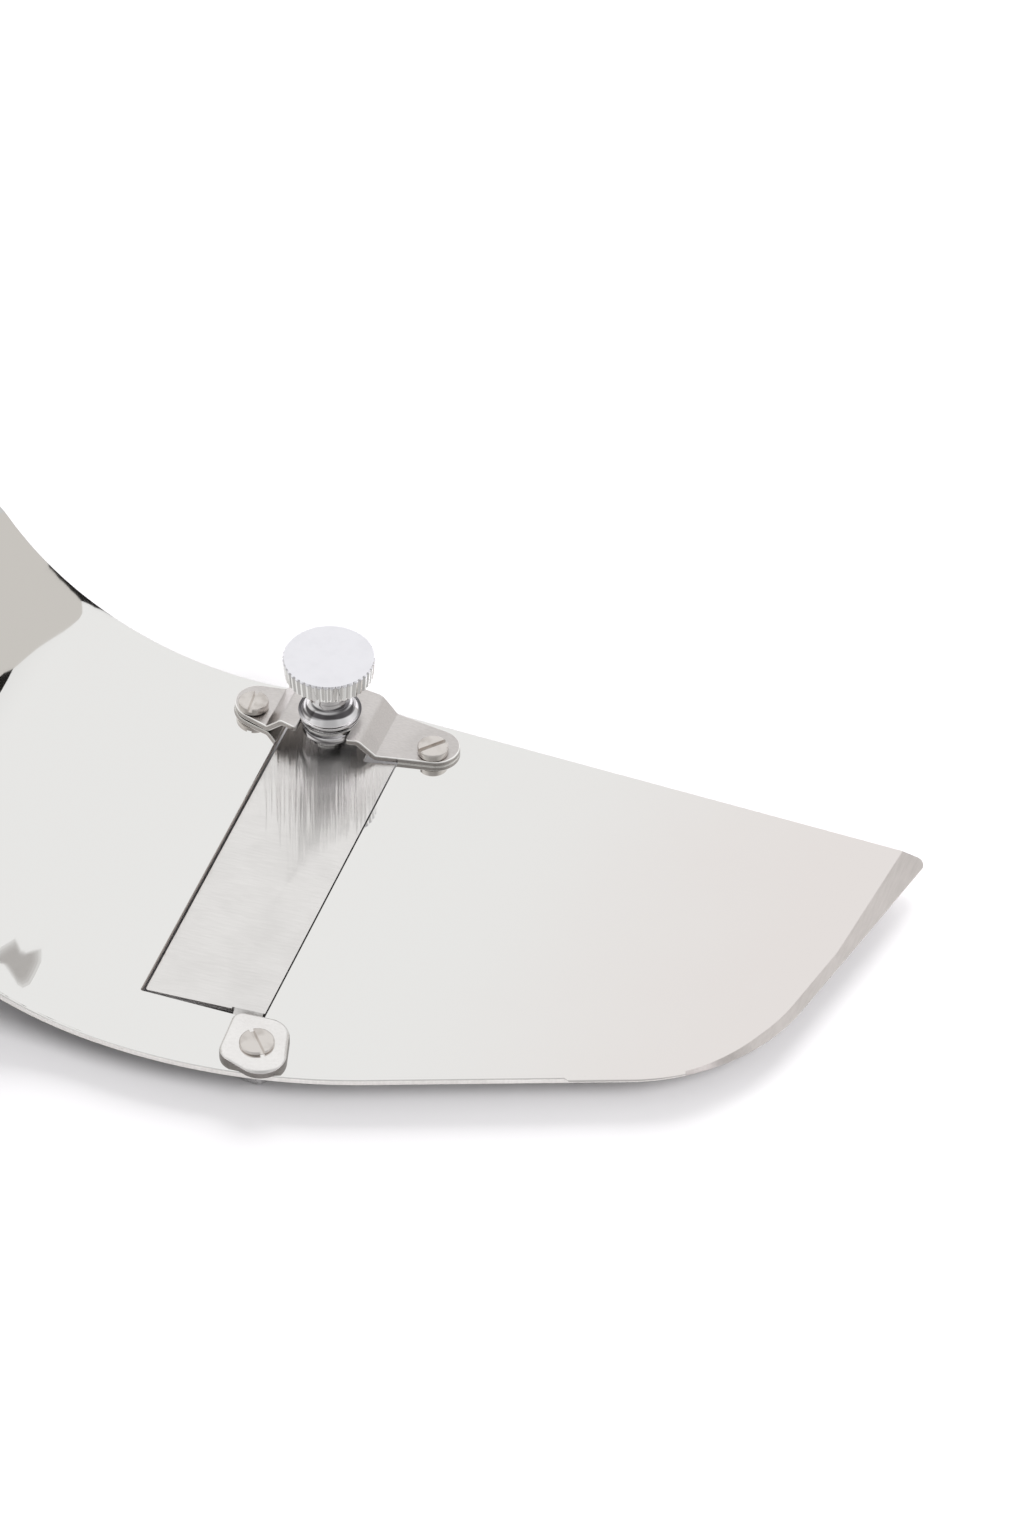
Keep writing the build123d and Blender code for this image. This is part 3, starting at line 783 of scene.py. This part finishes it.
# knob: a turned body whose rim is fluted by a rule
knob = {
    "top": 18.45,
    "rim": 8.2,
    "rimLow": 7.85,
    "headThick": 3.8,
    "crown": 0.3,
    "flutes": 44,
    "fluteDepth": 0.36,
    "neck": 3.3,
    "neckFlare": 1.6,
    "neckTop": 2.6,
    "dish": 2.4,
    "neckRound": 2.2,
    "collar": 5.6,
    "collarTop": 6.1,
    "lip": 0.45,
    "foot": 5.15,
    "base": 4.65,
    "bore": 2.52,
    "boreDepth": 5.52,
    "perFlute": 12,
    "crownRound": 0.25,
    "rimRound": 0.12,
    "flareRound": 1.2,
    "lipRound": 0.3,
    "collarRound": 0.12,
    "footRound": 0.1,
    "faceRings": (3.0, 6.0, 7.3, 7.5),
    "rimRings": 8,
    "sag": 0.0005,
    "near": 1e-7,
    "sharp": 38.0,
}


def knobProfile():
    # radius and height of the knob's outline from the middle of its face to the end of its bore
    headBase, boreTop = knob["top"] - knob["headThick"], knob["base"] + knob["boreDepth"]
    corners = [
        (0.0, knob["top"], 0),
        (knob["rim"] - knob["crown"], knob["top"], 0),
        (knob["rim"], knob["top"] - knob["crown"], knob["crownRound"]),
        (knob["rimLow"], headBase, knob["rimRound"]),
        (knob["neck"] + knob["neckFlare"], headBase, 0),
        (knob["neck"], headBase - knob["neckTop"], knob["flareRound"]),
        (knob["neck"], knob["collarTop"] + knob["dish"], knob["neckRound"]),
        (knob["collar"] - knob["lip"], knob["collarTop"], knob["lipRound"]),
        (knob["collar"], knob["collarTop"], knob["collarRound"]),
        (knob["collar"], knob["collarTop"] - knob["lip"], knob["footRound"]),
        (knob["foot"], knob["base"], 0),
        (knob["bore"], knob["base"], 0),
        (knob["bore"], boreTop, 0),
        (0.0, boreTop, 0),
    ]
    rounded = roundedPath([c[:2] for c in corners], [c[2] for c in corners], None, knob["sag"])
    profile = [tuple(pair[0]) for corner in rounded for pair in corner]
    rimTop, rimFoot = rounded[2][-1][0], rounded[3][0][0]
    low = profile.index(tuple(rimFoot))
    rings = knob["rimRings"]
    between = [tuple(rimTop * (1 - k / rings) + rimFoot * k / rings) for k in range(1, rings)]
    face = [(r, knob["top"]) for r in knob["faceRings"]]
    return profile[:1] + face + profile[1:low] + between + profile[low:]


def turnProfile(name, profile, sides):
    # turn radii and heights over the deck about the knob's axis into a closed mesh
    points, faces, rings = [], [], []
    for r, z in profile:
        if r == 0:
            rings.append([len(points)] * sides)
            points.append((0.0, 0.0, (z + deckHeight) * mm))
            continue
        rings.append(list(range(len(points), len(points) + sides)))
        for k in range(sides):
            angle = 2 * math.pi * k / sides
            points.append((r * mm * math.cos(angle), r * mm * math.sin(angle), (z + deckHeight) * mm))
    for above, below in zip(rings, rings[1:]):
        for k in range(sides):
            n = (k + 1) % sides
            corners = [above[k], below[k], below[n], above[n]]
            if above[k] == above[n]:
                corners = [above[k], below[k], below[n]]
            elif below[k] == below[n]:
                corners = [above[k], below[k], above[n]]
            faces.append(corners)
    mesh = bpy.data.meshes.new(name)
    mesh.from_pydata(points, [], faces)
    mesh.validate()
    closeUp(mesh, knob["near"])
    return standPiece(name, mesh)


def startRule(name, inputs):
    # a geometry tree with one named input for each size
    tree = bpy.data.node_groups.new(name, "GeometryNodeTree")
    tree.interface.new_socket("Geometry", in_out="OUTPUT", socket_type="NodeSocketGeometry")
    for label, kind in {"Geometry": "NodeSocketGeometry", **inputs}.items():
        tree.interface.new_socket(label, in_out="INPUT", socket_type=kind)
    graph = Graph(tree)
    enter = graph.node("NodeGroupInput")
    return tree, graph, lambda label: graph.wire(enter, label)


def endRule(graph, geometry, material):
    real = graph.wire(graph.node("GeometryNodeRealizeInstances", None, {"Geometry": geometry}))
    coated = graph.node("GeometryNodeSetMaterial", None, {"Geometry": real, "Material": material})
    graph.node("NodeGroupOutput", None, {"Geometry": graph.wire(coated)})


def applyRule(piece, tree, values):
    # run the tree once and keep its result as a mesh
    rule = piece.modifiers.new(tree.name, "NODES")
    rule.node_group = tree
    for item in tree.interface.items_tree:
        if item.item_type == "SOCKET" and item.in_out == "INPUT" and item.name in values:
            rule[item.identifier] = values[item.name]
    mesh = evaluated(piece)
    piece.modifiers.remove(rule)
    piece.data = mesh


def fluteRule():
    # press grooves into the rim of the head: every point over the head's base is drawn in to the flutes
    least = 0.00001
    fullTurns = 100.0
    lengths = ["Flute depth", "Rim radius", "Rim base", "Rim lean"]
    kinds = {"Flutes": "NodeSocketInt", **{label: "NodeSocketFloat" for label in lengths}}
    tree, graph, value = startRule("fluteRule", {**kinds, "Finish": "NodeSocketMaterial"})
    position = graph.wire(graph.node("GeometryNodeInputPosition"))
    place = graph.node("ShaderNodeSeparateXYZ", None, {"Vector": position})
    x, y, z = (graph.wire(place, k) for k in range(3))
    reach = (x * x + y * y) ** 0.5
    turn = x.mathNode("ARCTAN2", y, x)
    step = x.mathNode("FRACT", turn * value("Flutes") / (2 * math.pi) + fullTurns, 0.0) - 0.5
    across = step.mathNode("ABSOLUTE", step, 0.0) * value("Rim radius") * 2 * math.pi / value("Flutes")
    deep = (value("Flute depth") - across).most(0.0)
    height = z - value("Rim base")
    rimHere = value("Rim radius") + height * value("Rim lean")
    pulled = reach.least(rimHere - deep)
    more = {"data_type": "FLOAT", "operation": "GREATER_THAN"}
    onHead = graph.wire(graph.node("FunctionNodeCompare", more, {"A": height, "B": -least}))
    share = pulled / reach.most(least)
    moved = graph.wire(graph.node("ShaderNodeCombineXYZ", None, {"X": x * share, "Y": y * share, "Z": z}))
    pressed = {"Geometry": value("Geometry"), "Selection": onHead, "Position": moved}
    geometry = graph.node("GeometryNodeSetPosition", None, pressed)
    endRule(graph, graph.wire(geometry), value("Finish"))
    return tree


head = turnProfile("knobHead", knobProfile(), knob["flutes"] * knob["perFlute"])
fluteSizes = {
    "Flutes": knob["flutes"],
    "Flute depth": knob["fluteDepth"] * mm,
    "Rim radius": knob["rimLow"] * mm,
    "Rim base": (deckHeight + knob["top"] - knob["headThick"]) * mm,
    "Rim lean": (knob["rim"] - knob["rimLow"]) / knob["headThick"],
    "Finish": knobChrome,
}
applyRule(head, fluteRule(), fluteSizes)
smoothTo(head.data, knob["sharp"])
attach(head, "knob")
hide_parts("knob_head")
print("knob turned and fluted")


# slotted screws: one master, set on its seats by a rule
screws = {
    "radius": 1.5,
    "earHead": 2.75,
    "capHead": 3.0,
    "headHeight": 1.5,
    "capHeadHeight": 0.75,
    "headRound": 0.38,
    "slotWide": 0.8,
    "slotDeep": 0.7,
    "tip": 0.3,
    "sides": 64,
    "undercut": 0.22,
    "undercutRise": (0.10, 0.18),
    "roundSteps": 5,
    "edge": 0.05,
    "edgeSharp": 40.0,
    "sharp": 38.0,
    "earLength": 6.8,
    "capLength": 7.3,
}
# the screws' seats: x of the two in the ears, their y, the ear's thickness, and how each slot is turned
seats = {
    "left": -14.8,
    "right": 19.1,
    "ear": 0.5,
    "earThick": 1.1,
    "leftGap": 0.16,
    "leftTurn": 96.7,
    "rightTurn": 47.5,
    "capTurn": -49.5,
}


def screwMaster(length, big, tall):
    # a screw with its head's underside at the origin, its slot along x
    r, soft, steps = screws["radius"], screws["headRound"], screws["roundSteps"]
    profile = [(0.0, -length), (r - screws["tip"], -length), (r, screws["tip"] - length), (r, 0.0)]
    foot, (footLow, footHigh) = big - screws["undercut"], screws["undercutRise"]
    profile += [(foot, 0.0), (foot, footLow), (big, footHigh)]
    for k in range(steps + 1):
        angle = math.pi / 2 * k / steps
        profile.append((big - soft + soft * math.cos(angle), tall - soft + soft * math.sin(angle)))
    profile.append((0.0, tall))
    piece = turnProfile("screwMaster", [(a, b - deckHeight) for a, b in profile[::-1]], screws["sides"])
    cutterMesh = bpy.data.meshes.new("slotCutter")
    work = bmesh.new()
    bmesh.ops.create_cube(work, size=1.0)
    size = (big * 3 * mm, screws["slotWide"] * mm, screws["slotDeep"] * 2 * mm)
    bmesh.ops.scale(work, vec=size, verts=work.verts)
    bmesh.ops.translate(work, vec=(0, 0, tall * mm), verts=work.verts)
    work.to_mesh(cutterMesh)
    work.free()
    cutter = standPiece("slotCutter", cutterMesh)
    cut = piece.modifiers.new("slot", "BOOLEAN")
    cut.object = cutter
    cut.solver = "EXACT"
    breakEdges(piece, screws["edge"], 2, screws["edgeSharp"])
    bpy.context.view_layer.update()
    mesh = evaluated(piece)
    for old in (piece, cutter):
        bpy.data.objects.remove(old)
    return standPiece("screwMaster", mesh)


def seatRule():
    # a copy of the screw on every point, turned as the point's attribute says
    sockets = {"Screw": "NodeSocketObject", "Finish": "NodeSocketMaterial"}
    tree, graph, value = startRule("seatRule", sockets)
    source = graph.wire(graph.node("GeometryNodeObjectInfo", None, {"Object": value("Screw")}), "Geometry")
    vector = {"data_type": "FLOAT_VECTOR"}
    named = graph.node("GeometryNodeInputNamedAttribute", vector, {"Name": "seatTurn"})
    turn = graph.wire(named, "Attribute")
    seated = {"Points": value("Geometry"), "Instance": source, "Rotation": turn}
    placed = graph.node("GeometryNodeInstanceOnPoints", None, seated)
    endRule(graph, graph.wire(placed), value("Finish"))
    return tree


def setScrews(name, places, turns, length, reach, tall, node):
    # one screw at each place, which is its head's underside
    master = screwMaster(length, reach, tall)
    mesh = bpy.data.meshes.new(name)
    mesh.from_pydata(inMetres(places), [], [])
    kept = mesh.attributes.new("seatTurn", "FLOAT_VECTOR", "POINT")
    for item, turn in zip(kept.data, turns):
        item.vector = turn
    piece = standPiece(name, mesh)
    applyRule(piece, seatTree, {"Screw": master, "Finish": screwSteel})
    bpy.data.objects.remove(master)
    smoothTo(piece.data, screws["sharp"])
    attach(piece, "frame")
    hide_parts(node)


seatTree = seatRule()
lean = math.asin((-seats["left"] - sheet["bendStart"]) / sheet["bowlRadius"])
leftLift = seats["leftGap"] + seats["earThick"]
leftRise = sheet["bowlRadius"] * (1 - math.cos(lean))
leftX = seats["left"] + leftLift * math.sin(lean)
earPlaces = [
    (leftX, seats["ear"], deckHeight + leftRise + leftLift * math.cos(lean)),
    (seats["right"], seats["ear"], deckHeight + seats["earThick"]),
]
earTurns = [(0.0, lean, math.radians(seats["leftTurn"])), (0.0, 0.0, math.radians(seats["rightTurn"]))]
earSizes = screws["earLength"], screws["earHead"], screws["headHeight"]
setScrews("earScrews", earPlaces, earTurns, *earSizes, "bracket_screws")
capPlaces = [(*cap["place"], deckHeight + cap["high"])]
capTurns = [(0.0, 0.0, math.radians(seats["capTurn"]))]
capSizes = screws["capLength"], screws["capHead"], screws["capHeadHeight"]
setScrews("capScrew", capPlaces, capTurns, *capSizes, "clamp_screw")
print("screws set")


# camera at the photograph's place, its clip in metres
camera = {
    "place": (282.69, -729.91, 748.11),
    "right": (0.944600, 0.328174, 0.005774),
    "down": (0.231074, -0.652412, -0.721778),
    "ahead": (-0.233102, 0.683126, -0.692100),
    "focalPixels": 6094.0,
    "wide": 1020.0,
    "high": 1530.0,
    "sensor": 36.0,
    "clip": (0.01, 20.0),
}
lens = bpy.data.cameras.new("camera")
lens.sensor_width = camera["sensor"]
lens.lens = camera["focalPixels"] * camera["sensor"] / camera["high"]
lens.clip_start, lens.clip_end = camera["clip"]
viewer = standPiece("camera", lens)
axes = Matrix((camera["right"], [-c for c in camera["down"]], [-c for c in camera["ahead"]])).transposed()
viewer.matrix_world = Matrix.Translation(Vector(camera["place"]) * mm) @ axes.to_4x4()
bpy.context.scene.camera = viewer


# studio: pale floor, bright room, two soft lamps and the cards the polished sheet mirrors
studio = {
    "viewer": (0.261, -0.675, 0.691),
    "viewerTone": 0.75,
    "viewerRange": (0.84, 0.98),
    "front": (0.36, -0.93, 0.0),
    "frontTone": 0.70,
    "frontRange": (0.10, 0.60),
    "up": (0.0, 0.0, 1.0),
    "lowTone": 0.70,
    "lowRange": (0.05, 0.45),
    "cardPlane": 190.0,
    "stripPlane": 189.0,
    "cardTone": (0.715, 0.69, 0.66),
    "stripTone": (0.02, 0.019, 0.018),
    "patchPlane": 420.0,
    "patchStep": 0.5,
    "patchGrowth": (0.72, 0.86, 1.0, 1.14),
    "patchTone": (0.45, 0.43, 0.415),
    "veil": 0.38,
    "floorTone": (0.443, 0.436, 0.444),
    "floorReach": 6000.0,
    "lampAim": (0.0, -0.035, 0.0),
}


def plainSurface(name, colour, glow=None, veil=None):
    # matt, or glowing, or glowing and partly clear
    material = bpy.data.materials.new(name)
    graph = freshTree(material)
    kind, sockets = "ShaderNodeBsdfDiffuse", {"Color": (*colour, 1.0)}
    if glow is not None:
        kind, sockets = "ShaderNodeEmission", {**sockets, "Strength": glow}
    shader = graph.wire(graph.node(kind, None, sockets))
    if veil is not None:
        clear = graph.wire(graph.node("ShaderNodeBsdfTransparent"))
        shader = graph.wire(graph.node("ShaderNodeMixShader", None, {0: veil, 1: clear, 2: shader}))
    graph.node("ShaderNodeOutputMaterial", None, {"Surface": shader})
    return material


def flatPiece(name, points, material):
    mesh = bpy.data.meshes.new(name)
    mesh.from_pydata(inMetres(points), [], [list(range(len(points)))])
    mesh.materials.append(material)
    piece = standPiece(name, mesh)
    return piece


floorSides = ((-1, -1), (1, -1), (1, 1), (-1, 1))
floorCorners = [(x * studio["floorReach"], y * studio["floorReach"], 0) for x, y in floorSides]
flatPiece("floor", floorCorners, plainSurface("paleFloor", studio["floorTone"]))


def mirroredSpot(px, py, axis, plane):
    # where the line of sight through a pixel, turned by the bowl, meets a plane across an axis
    eye = Vector(camera["place"])
    across, down = px - camera["wide"] / 2, py - camera["high"] / 2
    sight = Vector(camera["right"]) * across + Vector(camera["down"]) * down
    sight = (sight + Vector(camera["ahead"]) * camera["focalPixels"]).normalized()
    ox, oz = eye.x + sheet["bendStart"], eye.z - deckHeight - sheet["bowlRadius"]
    a = sight.x**2 + sight.z**2
    b = 2 * (sight.x * ox + sight.z * oz)
    c = ox**2 + oz**2 - sheet["bowlRadius"] ** 2
    spot = eye + sight * ((-b + math.sqrt(b * b - 4 * a * c)) / (2 * a))
    slope = math.asin((-sheet["bendStart"] - spot.x) / sheet["bowlRadius"])
    up = Vector((math.sin(slope), 0, math.cos(slope)))
    away = sight - up * 2 * sight.dot(up)
    return spot + away * ((plane - spot[axis]) / away[axis])


# what the bowl mirrors, as outlines in the photograph's pixels
greyEdge = [(-60, 390), (-20, 450), (0, 490), (20, 520), (36, 545), (49.3, 567.6), (59.2, 578.7)]
greyEdge += [(71, 590.5), (80, 599.5), (82, 603), (82.5, 613), (79, 619), (72, 625), (64, 631), (50, 640)]
greyEdge += [(38, 648), (21, 662), (13, 669), (-4, 682), (-30, 700), (-60, 715)]
darkBack = [(44, 552), (49.3, 567.6), (59.2, 578.7), (71, 590.5), (81, 600.8), (95, 607.5), (112, 616)]
darkBack += [(124, 612), (60, 552)]
darkSide = [(-30, 712), (0, 693), (8, 679), (13, 669), (4, 673), (-4, 680), (-30, 698)]
greyPatch = [(-12, 960), (0, 951), (8, 946), (15, 942), (20, 952), (25, 954), (38, 951), (38, 962)]
greyPatch += [(33, 973), (28, 982), (22, 985), (17, 982), (12, 974), (5, 964), (-2, 963)]
cards = [
    ("greyCard", greyEdge, 1, studio["cardPlane"], studio["cardTone"]),
    ("darkStripBack", darkBack, 1, studio["stripPlane"], studio["stripTone"]),
    ("darkStripSide", darkSide, 1, studio["stripPlane"], studio["stripTone"]),
]
middleX, middleY = (sum(p[k] for p in greyPatch) / len(greyPatch) for k in (0, 1))
for layer, grow in enumerate(studio["patchGrowth"]):
    grown = [(middleX + (px - middleX) * grow, middleY + (py - middleY) * grow) for px, py in greyPatch]
    plane = studio["patchPlane"] + layer * studio["patchStep"]
    cards.append(("greyPatch" + str(layer), grown, 2, plane, studio["patchTone"]))
for name, pixels, axis, plane, tone in cards:
    spots = [mirroredSpot(px, py, axis, plane) for px, py in pixels]
    veil = studio["veil"] if name.startswith("greyPatch") else None
    card = flatPiece(name, spots, plainSurface(name, tone, 1.0, veil))
    card.visible_camera = False
    card.visible_shadow = False
    card.visible_diffuse = False

world = bpy.data.worlds.new("studio")
bpy.context.scene.world = world
sky = freshTree(world)
toward = sky.wire(sky.node("ShaderNodeTexCoord"), "Generated")


def facing(which, reach):
    # how nearly a direction of the room is a named one
    along = sky.node("ShaderNodeVectorMath", {"operation": "DOT_PRODUCT"}, {0: toward, 1: studio[which]})
    return sky.soften(sky.wire(along, "Value"), *studio[reach])


bright = 1.0 - facing("viewer", "viewerRange") * (1.0 - studio["viewerTone"])
bright = bright * (1.0 - facing("front", "frontRange") * (1.0 - studio["frontTone"]))
bright = bright * (studio["lowTone"] + facing("up", "lowRange") * (1.0 - studio["lowTone"]))
glow = sky.node("ShaderNodeBackground", None, {"Color": (1.0, 1.0, 1.0, 1.0), "Strength": bright})
sky.node("ShaderNodeOutputWorld", None, {"Surface": sky.wire(glow)})

# the lamps, in metres like lampAim
lamps = {
    "backLamp": {"place": (-0.12, 1.20, 0.72), "wide": 1.0, "high": 1.0, "power": 42.0},
    "sideLamp": {"place": (0.90, -0.35, 0.78), "wide": 0.8, "high": 0.8, "power": 24.0},
}
for name, values in lamps.items():
    lampData = bpy.data.lights.new(name, "AREA")
    lampData.shape = "RECTANGLE"
    lampData.size = values["wide"]
    lampData.size_y = values["high"]
    lampData.energy = values["power"]
    lamp = standPiece(name, lampData)
    lamp.location = values["place"]
    aim = Vector(studio["lampAim"]) - Vector(values["place"])
    lamp.rotation_euler = aim.to_track_quat("-Z", "Y").to_euler()
    lamp.visible_glossy = False
bpy.context.scene.view_settings.view_transform = "Standard"
print("studio lit")
